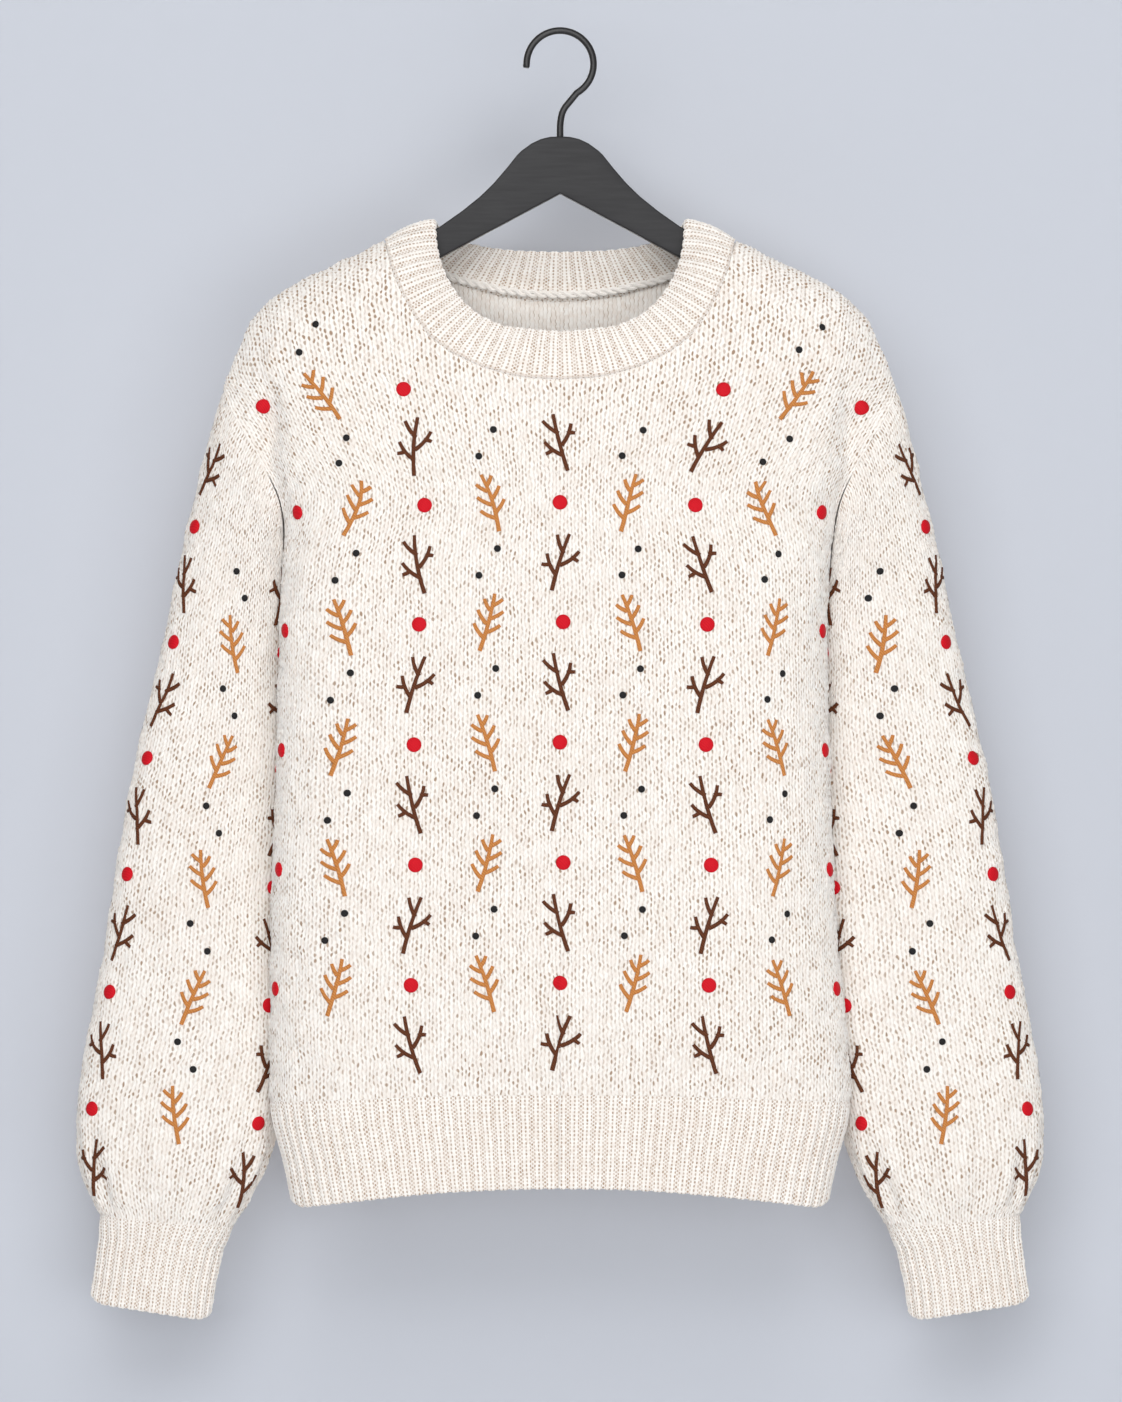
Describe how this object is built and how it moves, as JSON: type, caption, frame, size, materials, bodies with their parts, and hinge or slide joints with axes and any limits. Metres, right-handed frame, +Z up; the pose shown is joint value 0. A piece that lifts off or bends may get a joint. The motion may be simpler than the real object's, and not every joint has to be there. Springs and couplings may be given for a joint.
{
  "type": "christmas sweater on a hanger",
  "caption": "Crew neck knitted sweater with full sleeves, ribbed neckband, hem and cuffs, hanging open and empty on a flat contoured hanger with a wire hook.",
  "frame": {"origin": "inside top of the hook, where it rests on a rail", "axes": "+Z up, +X towards the wearer's left arm, the sweater's front faces -Y"},
  "size_m": [0.631, 0.1246, 0.8433],
  "materials": {
    "knit": "stockinette in soft off-white yarn, embroidered",
    "rib": "1x1 rib in soft off-white yarn",
    "hanger": "charcoal lacquer, satin",
    "hook": "black coated wire, satin"
  },
  "bodies": {
    "root": {"front_upper": "knit", "front_lower": "knit", "back_upper": "knit", "back_lower": "knit", "sleeve_left_upper": "knit", "sleeve_left_lower": "knit", "sleeve_right_upper": "knit", "sleeve_right_lower": "knit", "neckband": "rib", "neck_tape": "rib", "hem_rib": "rib", "cuff_left": "rib", "cuff_right": "rib", "hanger_body": "hanger", "hanger_hook": "hook"}
  },
  "joints": []
}
